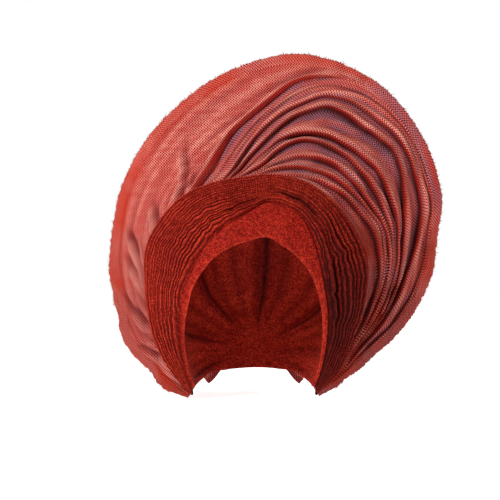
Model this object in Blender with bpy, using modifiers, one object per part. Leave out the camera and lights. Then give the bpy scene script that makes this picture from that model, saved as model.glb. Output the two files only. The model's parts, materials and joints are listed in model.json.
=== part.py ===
# Tied gele head tie: one long stiff cloth wound round the head, pleated round the
# face, spread into a high halo and knotted at the nape. Metres, +Z up, the face
# looks along -Y, and the origin is inside the top of the crown. Left is -X.

import math

import bmesh
import bpy
from mathutils import Vector

# Room for the head inside the crown
HEAD_WIDTH = 0.150
HEAD_DEPTH = 0.190
CROWN_HEIGHT = 0.092
HEAD_POWER = 2.4
NECK_WIDTH = 0.126
NECK_DEPTH = 0.104
NECK_SETBACK = 0.025
NECK_DROP = 0.090
NAPE_DROP = 0.078

# Cloth and the gap that the pieces keep
CLOTH = 0.0015
GAP = 0.0003

# Face opening, pleated band and brow wraps
OPENING_RADIUS = 0.060
BAND_WIDTH = 0.062
BAND_SETBACK = 0.034
BAND_BULGE = 0.007
PLEAT_COUNT = 9
PLEAT_DEPTH = 0.0026
TUCK_RISE = 0.005
TUCK_SHARE = 0.35
CROWN_INSET = 0.004

# Fan, its folds and its woven border
FAN_REACH = 0.130
FAN_SETBACK = 0.060
FAN_DISH = 0.010
FOLD_DEPTH = 0.007
CREASE_DEPTH = 0.006
BORDER_WIDTH = 0.009
SEAT_SPAN = 0.90

# Crown folds, gathered ends and the knot at the nape
CROWN_FOLD = 0.0022
CROWN_FOLD_COUNT = 7
FOLD_START = 94.0
FOLD_SPREAD = 30.0
TIE_HEIGHT = 0.024
TIE_THICKNESS = 0.0055
TIE_GROOVE = 0.14
KNOT_WIDTH = 0.046
KNOT_DEPTH = 0.026
KNOT_HEIGHT = 0.036
KNOT_DROP = 0.060
KNOT_FLAT = 0.28
END_LENGTH = 0.052
END_WIDTH = 0.038
END_START = 0.80
END_FALL = 0.016
END_LIFT = 0.005
END_PLEAT = 0.0022

# Where the gathered ends start: around the head from the face, and level below it
TIE_START = 78.0
TIE_LEVEL = 2.04

# Turns run anticlockwise round the face from +X, in degrees
RIGHT_GATHER = -57.0
LEFT_GATHER = 237.0
APEX_TURN = 81.0
LEFT_WRAP_END = 68.0
RIGHT_WRAP_END = 102.0
WRAP_CLIMB = 20.0
WRAP_CLEAR = 8.0
GATHER_EASE = 20.0
FOLD_EASE = 14.0
RIM_EASE = 18.0

# Mesh fineness
BAND_COLUMNS = 46
BROW_ROWS = 6
FOLD_COLUMNS = 9
SIDE_COLUMNS = 21
CROWN_ROWS = 9
NAPE_COLUMNS = 24
TIE_STEPS = 11
TIE_CORNERS = 12
END_STEPS = 7
END_STRIPS = 6

# Sections round the face: edge in opening radii, band and brow in band widths,
# fan in fan reaches, band_back in band setbacks, fan_back in fan setbacks
SECTIONS = (
    # turn, edge, brow, band, fan, band_back, fan_back
    (-57, 1.72, 0.05, 0.16, 0.04, 0.00, 0.03),
    (-40, 1.40, 0.06, 0.41, 0.12, 0.41, 0.32),
    (-25, 1.21, 0.07, 0.50, 0.25, 0.68, 0.52),
    (-10, 1.09, 0.08, 0.64, 0.40, 0.85, 0.67),
    (5, 1.02, 0.09, 0.78, 0.53, 0.97, 0.75),
    (20, 0.98, 0.13, 0.91, 0.65, 0.97, 0.88),
    (28, 0.97, 0.17, 0.93, 0.77, 0.98, 0.93),
    (35, 0.96, 0.22, 0.96, 0.83, 1.00, 0.97),
    (50, 0.95, 0.36, 1.01, 0.95, 1.03, 1.00),
    (65, 0.96, 0.50, 1.04, 1.00, 1.03, 1.03),
    (80, 1.00, 0.49, 0.97, 1.00, 1.00, 1.02),
    (95, 0.93, 0.36, 0.98, 0.89, 1.08, 1.02),
    (110, 0.91, 0.28, 1.02, 0.72, 1.06, 1.00),
    (125, 0.91, 0.21, 1.05, 0.56, 1.03, 0.98),
    (140, 0.92, 0.15, 1.01, 0.44, 1.03, 0.92),
    (155, 0.94, 0.11, 0.94, 0.34, 1.00, 0.85),
    (170, 1.00, 0.09, 0.76, 0.32, 0.97, 0.78),
    (185, 1.06, 0.08, 0.65, 0.28, 0.88, 0.70),
    (200, 1.18, 0.07, 0.55, 0.26, 0.68, 0.55),
    (215, 1.36, 0.06, 0.41, 0.17, 0.35, 0.35),
    (226, 1.54, 0.055, 0.28, 0.14, 0.15, 0.20),
    (237, 1.76, 0.05, 0.16, 0.04, 0.00, 0.03),
)

# Long folds of the fan: each leaves the pleated band at start, climbs to top over
# the crown and keeps side down to the right gather, both in shares of the fan's
# height there; depth in fold depths
FOLDS = (
    # start, top, side, depth
    (88, 0.13, 0.14, 0.45),
    (94, 0.25, 0.26, 0.40),
    (100, 0.38, 0.38, 0.80),
    (103, 0.54, 0.51, 0.50),
    (106, 0.71, 0.64, 1.00),
    (112, 0.84, 0.80, 0.80),
)
TOP_TURN = 68.0
SIDE_TURN = 20.0
CREST_SHARE = 0.30
KNEE = 0.30

# Creases of the fan's left side: each runs from the band at ring to the rim at
# rim; depth in crease depths, and columns up to the next crease
CREASES = (
    # ring, rim, depth, columns
    (120, 68, 1.00, 8),
    (124, 110, 0.60, 4),
    (143, 131, 0.55, 4),
    (173, 150, 0.80, 2),
    (177, 159, 0.60, 4),
    (198, 179, 0.75, 3),
    (215, 203, 0.60, 4),
    (237, 237, 0.00, 0),
)


# Layers of cloth between the head and the front of the band's inner edge
LAYER_STEP = CLOTH + GAP
EDGE_LAYER = CLOTH + 2 * LAYER_STEP

# The crown's folds and the ties run to the knot, at this level of the head form
KNOT_LEVEL = 1.0 + KNOT_DROP / NECK_DROP
BACK_LAYER = CLOTH + CROWN_FOLD + GAP

# Colour and roughness of each piece
FINISHES = {
    "crown_wrap": ((0.46, 0.030, 0.022), 0.60),
    "brow_wrap_left": ((0.62, 0.040, 0.025), 0.55),
    "brow_wrap_right": ((0.56, 0.030, 0.020), 0.55),
    "pleated_band": ((0.58, 0.035, 0.022), 0.55),
    "fan": ((0.72, 0.160, 0.140), 0.45),
    "rim_border": ((0.66, 0.050, 0.030), 0.60),
    "tie_band_left": ((0.52, 0.030, 0.020), 0.60),
    "tie_band_right": ((0.50, 0.030, 0.020), 0.60),
    "knot": ((0.60, 0.050, 0.035), 0.55),
    "knot_end_left": ((0.68, 0.120, 0.100), 0.50),
    "knot_end_right": ((0.66, 0.120, 0.100), 0.50),
}


def smooth_step(value):
    value = min(max(value, 0.0), 1.0)
    return value * value * (3.0 - 2.0 * value)


def section(turn):
    """Row of SECTIONS at any turn, on a smooth curve through the rows."""
    last = len(SECTIONS) - 1
    low = 0
    while low < last - 1 and turn > SECTIONS[low + 1][0]:
        low += 1
    before = SECTIONS[max(low - 1, 0)]
    start = SECTIONS[low]
    end = SECTIONS[low + 1]
    after = SECTIONS[min(low + 2, last)]
    span = end[0] - start[0]
    u = (turn - start[0]) / span
    values = []
    for column in range(1, len(start)):
        slope_in = (end[column] - before[column]) / (end[0] - before[0]) * span
        slope_out = (after[column] - start[column]) / (after[0] - start[0]) * span
        value = (2 * u ** 3 - 3 * u ** 2 + 1) * start[column]
        value += (u ** 3 - 2 * u ** 2 + u) * slope_in
        value += (3 * u ** 2 - 2 * u ** 3) * end[column]
        value += (u ** 3 - u ** 2) * slope_out
        values.append(value)
    return values


def neck_section(drop, layer):
    """Half width, half depth and setback of the head form, drop below its widest level."""
    share = (drop / NECK_DROP) ** 2
    half_width = HEAD_WIDTH / 2 + layer + (NECK_WIDTH - HEAD_WIDTH) / 2 * share
    half_depth = HEAD_DEPTH / 2 + layer + (NECK_DEPTH - HEAD_DEPTH) / 2 * share
    return half_width, half_depth, NECK_SETBACK * share


def on_head(around, level, layer):
    """Point on the head form. around is 0 at the face and 180 at the back, level 0
    at the crown's top, 1 at its widest and 2 at NECK_DROP below that."""
    side = math.sin(math.radians(around))
    front = math.cos(math.radians(around))
    if level > 1.0:
        drop = (level - 1.0) * NECK_DROP
        half_width, half_depth, setback = neck_section(drop, layer)
        reach = abs(side / half_width) ** HEAD_POWER + abs(front / half_depth) ** HEAD_POWER
        reach = reach ** (-1.0 / HEAD_POWER)
        return Vector((reach * side, setback - reach * front, -CROWN_HEIGHT - drop))
    rise = math.radians(90.0 * (1.0 - level))
    side *= math.cos(rise)
    front *= math.cos(rise)
    up = math.sin(rise)
    reach = abs(side / (HEAD_WIDTH / 2 + layer)) ** HEAD_POWER
    reach += abs(front / (HEAD_DEPTH / 2 + layer)) ** HEAD_POWER
    reach += abs(up / (CROWN_HEIGHT + layer)) ** HEAD_POWER
    reach = reach ** (-1.0 / HEAD_POWER)
    return Vector((reach * side, -reach * front, reach * up - CROWN_HEIGHT))


def head_front(x, z, layer):
    """Depth y of the head form's front at x, z above the widest level."""
    if z >= 0.0:
        rest = 1.0 - abs(x / (HEAD_WIDTH / 2 + layer)) ** HEAD_POWER
        rest -= abs(z / (CROWN_HEIGHT + layer)) ** HEAD_POWER
        return -(HEAD_DEPTH / 2 + layer) * max(rest, 0.0) ** (1.0 / HEAD_POWER)
    half_width, half_depth, setback = neck_section(-z, layer)
    rest = 1.0 - abs(x / half_width) ** HEAD_POWER
    return setback - half_depth * max(rest, 0.0) ** (1.0 / HEAD_POWER)


def head_angles(x, z, layer):
    """around and level of the head form's front at x, z above the widest level."""
    y = head_front(x, z, layer)
    if z >= 0.0:
        return math.degrees(math.atan2(x, -y)), 1.0 - math.degrees(math.atan2(z, math.hypot(x, y))) / 90.0
    setback = neck_section(-z, layer)[2]
    return math.degrees(math.atan2(x, setback - y)), 1.0 - z / NECK_DROP


def head_side(turn, layer):
    """Radius and depth of the head form's widest line, seen from the front."""
    across = abs(math.cos(math.radians(turn)))
    up = math.sin(math.radians(turn))
    if up >= 0.0:
        radius = (across / (HEAD_WIDTH / 2 + layer)) ** HEAD_POWER + (up / (CROWN_HEIGHT + layer)) ** HEAD_POWER
        return radius ** (-1.0 / HEAD_POWER), 0.0
    radius = HEAD_WIDTH / 2
    for _ in range(12):
        radius = 0.5 * (radius + neck_section(-up * radius, layer)[0] / across)
    return radius, neck_section(-up * radius, layer)[2]


def polar(turn, radius, depth):
    angle = math.radians(turn)
    return Vector((radius * math.cos(angle), depth, radius * math.sin(angle) - CROWN_HEIGHT))


def bowed(reach, back, share, bow):
    """Radius and depth gained along a line that bows forward by bow."""
    length = math.hypot(reach, back)
    out = 4.0 * share * (1.0 - share) * bow
    return share * reach + out * back / length, share * back - out * reach / length


def lifted(surface, turn, share, lift):
    """Point of a surface, lifted square to its front."""
    outward = surface(turn, share + 0.01) - surface(turn, share - 0.01)
    around = surface(turn + 0.5, share) - surface(turn - 0.5, share)
    return surface(turn, share) + lift * outward.cross(around).normalized()


def band_surface(turn, share):
    """Front of the band without its pleats, share 0 at the face and 1 at its outer edge."""
    edge, brow, band, fan, band_back, fan_back = section(turn)
    inner = edge * OPENING_RADIUS
    angle = math.radians(turn)
    start = head_front(inner * math.cos(angle), inner * math.sin(angle), EDGE_LAYER)
    radius, depth = bowed(band * BAND_WIDTH, band_back * BAND_SETBACK, share, BAND_BULGE * band)
    return polar(turn, inner + radius, start + depth)


def band_point(turn, share, lift=0.0):
    return lifted(band_surface, turn, share, lift)


def band_turns():
    """Turns of the columns that the band and the brow wraps share."""
    step = (LEFT_GATHER - RIGHT_GATHER) / BAND_COLUMNS
    return [RIGHT_GATHER + step * column for column in range(BAND_COLUMNS + 1)]


def brow_share(turn):
    values = section(turn)
    return values[1] / values[2]


def border_share(turn):
    """Share of the fan's reach that the fan takes, up to the border."""
    reach = section(turn)[3] * FAN_REACH
    return 1.0 - BORDER_WIDTH / (reach + BORDER_WIDTH)


def fan_surface(turn, share):
    """Front of the fan without its folds, share 0 behind the band's edge and 1 at the rim."""
    fan, band_back, fan_back = section(turn)[3:]
    radius, depth = bowed(fan * FAN_REACH, fan_back * FAN_SETBACK, share, -FAN_DISH * fan)
    angle = math.radians(turn)
    step = Vector((radius * math.cos(angle), depth, radius * math.sin(angle)))
    return band_point(turn, 1.0, -LAYER_STEP) + step


def fan_point(turn, share, lift=0.0):
    return lifted(fan_surface, turn, share, lift)


def fan_seat(turn):
    """Point where the fan's hidden inner edge sits on the crown."""
    seat_turn = 90.0 + (turn - 90.0) * SEAT_SPAN
    radius, depth = head_side(seat_turn, CLOTH + 2.0 * GAP)
    return polar(seat_turn, radius, depth)


def fold_line(fold, turn):
    """Height of a fold's valley at a turn, in shares of the fan."""
    start, top, side = fold[:3]
    climb = max((start - turn) / (start - TOP_TURN), 0.0)
    if climb > 1.0 - KNEE:
        climb = min(climb, 1.0 + KNEE)
        climb -= (climb - 1.0 + KNEE) ** 2 / (4.0 * KNEE)
    level = top + (side - top) * smooth_step((TOP_TURN - turn) / (TOP_TURN - SIDE_TURN))
    return level * climb


def crease_line(share):
    """Turn of the crease that parts the folds from the fan's left side."""
    ring, rim = CREASES[0][:2]
    return ring + (rim - ring) * share


def outer_line(turn):
    """Height of the outermost fold's valley, which meets the rim at TOP_TURN."""
    ring, rim = CREASES[0][:2]
    return min(max((ring - turn) / (ring - rim), 0.0), 1.0)


def fold_amplitude(depth, spacing):
    """Half the height of a fold, less where the folds crowd."""
    return 0.5 * depth * FOLD_DEPTH * spacing / (spacing + depth * FOLD_DEPTH)


def crease_fade(share):
    """Relief along a crease: none at the band, most at its middle, little at the rim."""
    return smooth_step(share / 0.25) * (1.0 - 0.65 * smooth_step((share - 0.4) / 0.6))


def fan_rows():
    """Rows of fan shares and lifts for the folded part, from the band outward."""
    turns = [crease_line(step / FOLD_COLUMNS) for step in range(FOLD_COLUMNS + 1)]
    side_step = (TOP_TURN - RIGHT_GATHER) / SIDE_COLUMNS
    turns += [TOP_TURN - side_step * (step + 1) for step in range(SIDE_COLUMNS)]
    rows = [[] for _ in range(2 * len(FOLDS) + 3)]
    edge_lift = -0.5 * CREASE_DEPTH * CREASES[0][2]
    for turn in turns:
        reach = section(turn)[3] * FAN_REACH
        ease = smooth_step((turn - RIGHT_GATHER) / FOLD_EASE)
        valleys = [0.0] + [fold_line(fold, turn) for fold in FOLDS] + [outer_line(turn)]
        depths = [FOLDS[0][3]] + [fold[3] for fold in FOLDS]
        for index in range(len(valleys) - 1):
            spacing = (valleys[index + 1] - valleys[index]) * reach
            height = fold_amplitude(depths[index], spacing) * ease
            near = smooth_step(valleys[index] / 0.06)
            rows[2 * index].append((turn, valleys[index], -height * near))
            crest = valleys[index] + CREST_SHARE * (valleys[index + 1] - valleys[index])
            rows[2 * index + 1].append((turn, crest, height * smooth_step(crest / 0.04)))
        fade = smooth_step(1.0 - (TOP_TURN - turn) / RIM_EASE)
        rows[-1].append((turn, valleys[-1], edge_lift * crease_fade(valleys[-1]) * fade))
    return rows


def fan_columns():
    """Columns of fan shares and lifts for the left side, from the outer fold on."""
    columns = []
    for index, (ring, rim, depth, count) in enumerate(CREASES):
        following = CREASES[min(index + 1, len(CREASES) - 1)]
        for step in range(max(count, 1)):
            part = step / max(count, 1)
            valley = depth + (following[2] - depth) * part
            ridge = math.sin(math.pi * part ** 0.7) - 0.5
            column = []
            for row in range(FOLD_COLUMNS + 1):
                share = row / FOLD_COLUMNS
                turn = ring + (following[0] - ring) * part
                turn += (rim - ring + (following[1] - following[0] - rim + ring) * part) * share
                column.append((turn, share, ridge * valley * CREASE_DEPTH * crease_fade(share)))
            columns.append(column)
    return columns


def place_fan(spot):
    turn, share, lift = spot
    reach = section(turn)[3] * FAN_REACH
    return fan_point(turn, share * (border_share(turn) - GAP / reach), lift)


def rim_spots():
    """Turn and lift along the fan's outer edge, right gather to left gather."""
    right = [(turn, lift) for turn, share, lift in reversed(fan_rows()[-1]) if turn <= TOP_TURN]
    left = [(column[-1][0], column[-1][2]) for column in fan_columns()[1:]]
    return right + left


def new_material(name):
    colour, roughness = FINISHES[name]
    material = bpy.data.materials.new(name + " cloth")
    material.use_nodes = True
    shader = material.node_tree.nodes["Principled BSDF"]
    shader.inputs["Base Color"].default_value = (*colour, 1.0)
    shader.inputs["Roughness"].default_value = roughness
    shader.inputs["Metallic"].default_value = 0.0
    return material


def add_object(name, mesh, collection):
    mesh.materials.append(new_material(name))
    mesh.shade_smooth()
    part = bpy.data.objects.new(name, mesh)
    collection.objects.link(part)
    return part


def sheet_mesh(name, blocks):
    """Open mesh through blocks of rows of points, joined where they meet."""
    work = bmesh.new()
    for rows in blocks:
        grid = [[work.verts.new(point) for point in row] for row in rows]
        for below, above in zip(grid, grid[1:]):
            for first in range(len(below) - 1):
                work.faces.new((below[first], above[first], above[first + 1], below[first + 1]))
    bmesh.ops.remove_doubles(work, verts=work.verts, dist=1e-6)
    mesh = bpy.data.meshes.new(name)
    work.to_mesh(mesh)
    work.free()
    return mesh


def add_sheet(name, blocks, collection, outward=False):
    """Cloth of one thickness behind its front, or outside its inner face."""
    part = add_object(name, sheet_mesh(name, blocks), collection)
    shell = part.modifiers.new("cloth", "SOLIDIFY")
    shell.thickness = CLOTH
    shell.offset = 1.0 if outward else -1.0
    return part


def add_loft(name, rings, collection):
    """Closed solid through rings of points, with flat ends."""
    work = bmesh.new()
    grid = [[work.verts.new(point) for point in ring] for ring in rings]
    count = len(grid[0])
    for ring, following in zip(grid, grid[1:]):
        for first in range(count):
            second = (first + 1) % count
            work.faces.new((ring[first], ring[second], following[second], following[first]))
    work.faces.new(reversed(grid[0]))
    work.faces.new(grid[-1])
    bmesh.ops.recalc_face_normals(work, faces=work.faces)
    mesh = bpy.data.meshes.new(name)
    work.to_mesh(mesh)
    work.free()
    return add_object(name, mesh, collection)


def fold_room(around):
    """Room that the crown's folds need under the ties: none at the gathers."""
    return CROWN_FOLD * smooth_step((abs(around) - FOLD_START) / FOLD_SPREAD)


def crown_fold(around, level):
    """Height of the folds that run over the back of the crown to the knot."""
    aside = (abs(around) - 180.0) * math.copysign(1.0, around) / 90.0
    above = KNOT_LEVEL - level
    spread = smooth_step((math.hypot(aside, above) - 0.15) / 0.35) * smooth_step(level / 0.5)
    return fold_room(around) * spread * (0.5 + 0.5 * math.cos(CROWN_FOLD_COUNT * math.atan2(above, aside)))


def crown_edge():
    """around and level along the crown's edge: over the brow, then round the nape."""
    edge = []
    steps = BAND_COLUMNS // 2
    for step in range(steps + 1):
        turn = RIGHT_GATHER + (LEFT_GATHER - RIGHT_GATHER) * step / steps
        radius = section(turn)[0] * OPENING_RADIUS + CROWN_INSET
        angle = math.radians(turn)
        edge.append(head_angles(radius * math.cos(angle), radius * math.sin(angle), 0.0))
    right_around, right_level = edge[0]
    left_around, left_level = edge[-1]
    nape_level = 1.0 + NAPE_DROP / NECK_DROP
    for step in range(1, NAPE_COLUMNS):
        part = step / NAPE_COLUMNS
        around = left_around - (360.0 - right_around + left_around) * part
        side_level = left_level + (right_level - left_level) * part
        level = side_level + (nape_level - side_level) * smooth_step(1.0 - abs(2.0 * part - 1.0))
        edge.append((around, level))
    edge.append(edge[0])
    return edge


def build_crown(collection):
    rows = []
    edge = crown_edge()
    for row in range(CROWN_ROWS + 1):
        share = row / CROWN_ROWS
        points = []
        for around, level in edge:
            wrapped = (around + 180.0) % 360.0 - 180.0
            points.append(on_head(wrapped, level * share, crown_fold(wrapped, level * share)))
        rows.append(points)
    return add_sheet("crown_wrap", [rows[::-1]], collection, outward=True)


def wrap_lift(turn, over):
    """Lift of a brow wrap: the right one climbs over the left one where they cross."""
    if not over:
        return -LAYER_STEP
    return -LAYER_STEP * smooth_step((LEFT_WRAP_END - WRAP_CLEAR - turn) / WRAP_CLIMB)


def build_brow_wrap(name, over, collection):
    """Smooth band over the brow; over says that it crosses on top."""
    rows = [[] for _ in range(BROW_ROWS + 1)]
    for turn in band_turns():
        if (over and turn > RIGHT_WRAP_END) or (not over and turn < LEFT_WRAP_END):
            continue
        outer = brow_share(turn)
        if over:
            inner = 0.85 * outer * smooth_step((turn - APEX_TURN) / (RIGHT_WRAP_END - APEX_TURN))
        else:
            inner = 0.80 * outer * smooth_step((APEX_TURN - turn) / (APEX_TURN - LEFT_WRAP_END))
        for index, row in enumerate(rows):
            share = inner + (outer - inner) * index / BROW_ROWS
            row.append(band_point(turn, share, wrap_lift(turn, over)))
    return add_sheet(name, [rows], collection)


def build_band(collection):
    """Long narrow pleats round the face, tucked behind the brow wraps."""
    rows = [[] for _ in range(2 * PLEAT_COUNT + 2)]
    for turn in band_turns():
        width = section(turn)[2] * BAND_WIDTH
        inner = brow_share(turn)
        tuck = TUCK_SHARE * inner
        spacing = (1.0 - inner) * width / PLEAT_COUNT
        height = PLEAT_DEPTH * spacing / (spacing + 0.4 * PLEAT_DEPTH)
        height *= smooth_step(0.15 + min(turn - RIGHT_GATHER, LEFT_GATHER - turn) / GATHER_EASE)
        rows[0].append(band_point(turn, inner - tuck, -2.0 * LAYER_STEP))
        for index in range(2 * PLEAT_COUNT + 1):
            share = inner + (1.0 - inner) * index / (2 * PLEAT_COUNT)
            clear = smooth_step(((share - inner) * width - 0.5 * CLOTH) / TUCK_RISE)
            lift = -2.0 * LAYER_STEP * (1.0 - clear)
            if index % 2 == 1:
                lift += height * clear
            rows[index + 1].append(band_point(turn, share, lift))
    return add_sheet("pleated_band", [rows], collection)


def build_fan(collection):
    """Stiff halo with its folds, and the hidden turn of cloth that seats it on the crown."""
    folded = [[place_fan(spot) for spot in reversed(row)] for row in fan_rows()]
    left = [list(points) for points in zip(*[[place_fan(spot) for spot in column] for column in fan_columns()])]
    turns = [spot[0] for spot in reversed(fan_rows()[0])] + [column[0][0] for column in fan_columns()[1:]]
    seat = [fan_seat(turn) for turn in turns]
    ring = [place_fan((turn, 0.0, 0.0)) for turn in turns]
    middle = [start.lerp(end, 0.5) for start, end in zip(seat, ring)]
    return add_sheet("fan", [[seat, middle, ring], folded, left], collection)


def build_border(collection):
    """Plain woven border along the fan's rim."""
    rows = [[], []]
    for turn, lift in rim_spots():
        rows[0].append(fan_point(turn, border_share(turn), lift))
        rows[1].append(fan_point(turn, 1.0, lift))
    return add_sheet("rim_border", [rows], collection)


def build_tie(name, side, collection):
    """Gathered end from a gather to under the knot; side is 1 at the right, -1 at the left."""
    rings = []
    last = 180.0 - math.degrees(GAP / HEAD_DEPTH)
    for step in range(TIE_STEPS + 1):
        part = step / TIE_STEPS
        around = TIE_START + (last - TIE_START) * part
        level = TIE_LEVEL + (KNOT_LEVEL - TIE_LEVEL) * smooth_step(part)
        base = CLOTH + GAP + fold_room(around) + 0.5 * TIE_THICKNESS
        half_height = 0.5 * TIE_HEIGHT * (0.6 + 0.4 * math.sin(math.pi * part))
        ring = []
        for corner in range(TIE_CORNERS):
            angle = 2.0 * math.pi * corner / TIE_CORNERS
            groove = 1.0 - TIE_GROOVE * (1.0 - math.cos(6.0 * angle))
            up = half_height * math.sin(angle) / NECK_DROP
            layer = base + 0.5 * TIE_THICKNESS * math.cos(angle) * groove
            ring.append(on_head(side * around, level - up, layer))
        rings.append(ring)
    return add_loft(name, rings, collection)


def build_knot(collection):
    """Rounded knot, flat against the ties, with a loop of cloth over its middle."""
    base = BACK_LAYER + TIE_THICKNESS + GAP
    centre = on_head(180.0, KNOT_LEVEL, base) + Vector((0.0, KNOT_FLAT * KNOT_DEPTH, 0.0))
    work = bmesh.new()
    bmesh.ops.create_uvsphere(work, u_segments=18, v_segments=10, radius=1.0)
    for vertex in work.verts:
        x, y, z = vertex.co
        loop = math.exp(-(x / 0.34) ** 2)
        groove = math.exp(-((abs(x) - 0.52) / 0.13) ** 2)
        swell = 0.84 + 0.16 * loop - 0.14 * groove
        depth = KNOT_FLAT if y < 0.0 else 1.0 - KNOT_FLAT
        vertex.co = centre + Vector((
            x * 0.5 * KNOT_WIDTH,
            y * depth * KNOT_DEPTH * swell,
            z * 0.5 * KNOT_HEIGHT * swell,
        ))
    mesh = bpy.data.meshes.new("knot")
    work.to_mesh(mesh)
    work.free()
    return add_object("knot", mesh, collection)


def build_knot_end(name, side, collection):
    """Short pleated tail that spreads from beside the knot; side as in build_tie."""
    rows = []
    layer = BACK_LAYER + TIE_THICKNESS + GAP
    start = math.degrees(END_START * KNOT_WIDTH / HEAD_DEPTH)
    reach = math.degrees(2.0 * END_LENGTH / HEAD_DEPTH)
    for step in range(END_STEPS + 1):
        part = step / END_STEPS
        around = 180.0 - start - reach * part
        width = END_WIDTH * (0.35 + 0.65 * smooth_step(part))
        points = []
        for strip in range(END_STRIPS + 1):
            across = strip / END_STRIPS - 0.5
            level = KNOT_LEVEL + END_FALL * part / NECK_DROP + across * width / NECK_DROP
            lift = END_PLEAT * (strip % 2) + END_LIFT * part
            points.append(on_head(side * around, level, layer + lift))
        rows.append(points if side > 0 else points[::-1])
    return add_sheet(name, [rows], collection, outward=True)


def main():
    for old in list(bpy.data.objects):
        bpy.data.objects.remove(old)
    collection = bpy.data.collections.new("tied_gele_head_tie")
    bpy.context.scene.collection.children.link(collection)
    build_crown(collection)
    build_brow_wrap("brow_wrap_left", False, collection)
    build_brow_wrap("brow_wrap_right", True, collection)
    build_band(collection)
    build_fan(collection)
    build_border(collection)
    build_tie("tie_band_left", -1, collection)
    build_tie("tie_band_right", 1, collection)
    build_knot(collection)
    build_knot_end("knot_end_left", -1, collection)
    build_knot_end("knot_end_right", 1, collection)


main()
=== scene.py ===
import json
import math

import bpy
import numpy as np
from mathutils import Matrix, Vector

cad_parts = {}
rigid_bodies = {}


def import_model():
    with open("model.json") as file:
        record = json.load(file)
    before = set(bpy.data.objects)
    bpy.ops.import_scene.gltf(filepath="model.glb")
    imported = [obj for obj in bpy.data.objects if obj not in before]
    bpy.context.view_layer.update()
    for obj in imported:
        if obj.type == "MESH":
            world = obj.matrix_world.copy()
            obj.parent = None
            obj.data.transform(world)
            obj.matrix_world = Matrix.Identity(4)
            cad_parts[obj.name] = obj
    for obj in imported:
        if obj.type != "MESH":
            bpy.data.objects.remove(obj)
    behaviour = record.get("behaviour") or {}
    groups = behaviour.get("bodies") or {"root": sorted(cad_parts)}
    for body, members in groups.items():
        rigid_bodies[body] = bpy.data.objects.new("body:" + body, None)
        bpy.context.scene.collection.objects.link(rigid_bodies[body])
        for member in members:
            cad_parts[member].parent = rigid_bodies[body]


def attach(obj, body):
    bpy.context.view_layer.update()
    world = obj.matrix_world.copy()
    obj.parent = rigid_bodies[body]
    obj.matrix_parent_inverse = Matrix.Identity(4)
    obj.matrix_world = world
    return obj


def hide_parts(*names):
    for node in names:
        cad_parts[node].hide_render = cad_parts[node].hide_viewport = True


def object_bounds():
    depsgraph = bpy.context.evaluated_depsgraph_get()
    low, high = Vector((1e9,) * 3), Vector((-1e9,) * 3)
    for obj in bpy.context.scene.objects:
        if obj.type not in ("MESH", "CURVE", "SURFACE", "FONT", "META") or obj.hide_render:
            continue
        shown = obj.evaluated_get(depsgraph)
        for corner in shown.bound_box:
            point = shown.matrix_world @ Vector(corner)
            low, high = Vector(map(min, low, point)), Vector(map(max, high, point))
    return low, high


for old in list(bpy.data.objects):
    bpy.data.objects.remove(old)
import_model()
cad_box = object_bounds()

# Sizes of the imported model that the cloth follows
HEAD_WIDTH = 0.150
HEAD_DEPTH = 0.190
CROWN_HEIGHT = 0.092
HEAD_POWER = 2.4
NECK_WIDTH = 0.126
NECK_DEPTH = 0.104
NECK_SETBACK = 0.025
NECK_DROP = 0.090
NAPE_DROP = 0.078
CLOTH = 0.0015
GAP = 0.0003
OPENING_RADIUS = 0.060
BAND_WIDTH = 0.062
BAND_SETBACK = 0.034
BAND_BULGE = 0.007
CROWN_INSET = 0.004
FAN_REACH = 0.130
FAN_SETBACK = 0.060
FAN_DISH = 0.010
BORDER_WIDTH = 0.009
SEAT_SPAN = 0.90
CROWN_FOLD = 0.0022
FOLD_START = 94.0
FOLD_SPREAD = 30.0
TIE_HEIGHT = 0.024
TIE_THICKNESS = 0.0055
KNOT_WIDTH = 0.046
KNOT_DEPTH = 0.026
KNOT_HEIGHT = 0.036
KNOT_DROP = 0.060
END_LENGTH = 0.052
END_WIDTH = 0.038
END_START = 0.80
END_FALL = 0.016
END_LIFT = 0.005
TIE_START = 78.0
TIE_LEVEL = 2.04
RIGHT_GATHER = -57.0
LEFT_GATHER = 237.0
APEX_TURN = 81.0
LEFT_WRAP_END = 68.0
RIGHT_WRAP_END = 102.0
LAYER_STEP = CLOTH + GAP
EDGE_LAYER = CLOTH + 2 * LAYER_STEP
KNOT_LEVEL = 1.0 + KNOT_DROP / NECK_DROP
BACK_LAYER = CLOTH + CROWN_FOLD + GAP

# Sections round the face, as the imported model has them
SECTIONS = (
    # turn, edge, brow, band, fan, band_back, fan_back
    (-57, 1.72, .05, .16, .04, .00, .03),
    (-40, 1.40, .06, .41, .12, .41, .32),
    (-25, 1.21, .07, .50, .25, .68, .52),
    (-10, 1.09, .08, .64, .40, .85, .67),
    (5, 1.02, .09, .78, .53, .97, .75),
    (20, .98, .13, .91, .65, .97, .88),
    (28, .97, .17, .93, .77, .98, .93),
    (35, .96, .22, .96, .83, 1.00, .97),
    (50, .95, .36, 1.01, .95, 1.03, 1.00),
    (65, .96, .50, 1.04, 1.00, 1.03, 1.03),
    (80, 1.00, .49, .97, 1.00, 1.00, 1.02),
    (95, .93, .36, .98, .89, 1.08, 1.02),
    (110, .91, .28, 1.02, .72, 1.06, 1.00),
    (125, .91, .21, 1.05, .56, 1.03, .98),
    (140, .92, .15, 1.01, .44, 1.03, .92),
    (155, .94, .11, .94, .34, 1.00, .85),
    (170, 1.00, .09, .76, .32, .97, .78),
    (185, 1.06, .08, .65, .28, .88, .70),
    (200, 1.18, .07, .55, .26, .68, .55),
    (215, 1.36, .06, .41, .17, .35, .35),
    (226, 1.54, .055, .28, .14, .15, .20),
    (237, 1.76, .05, .16, .04, .00, .03),
)

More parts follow.
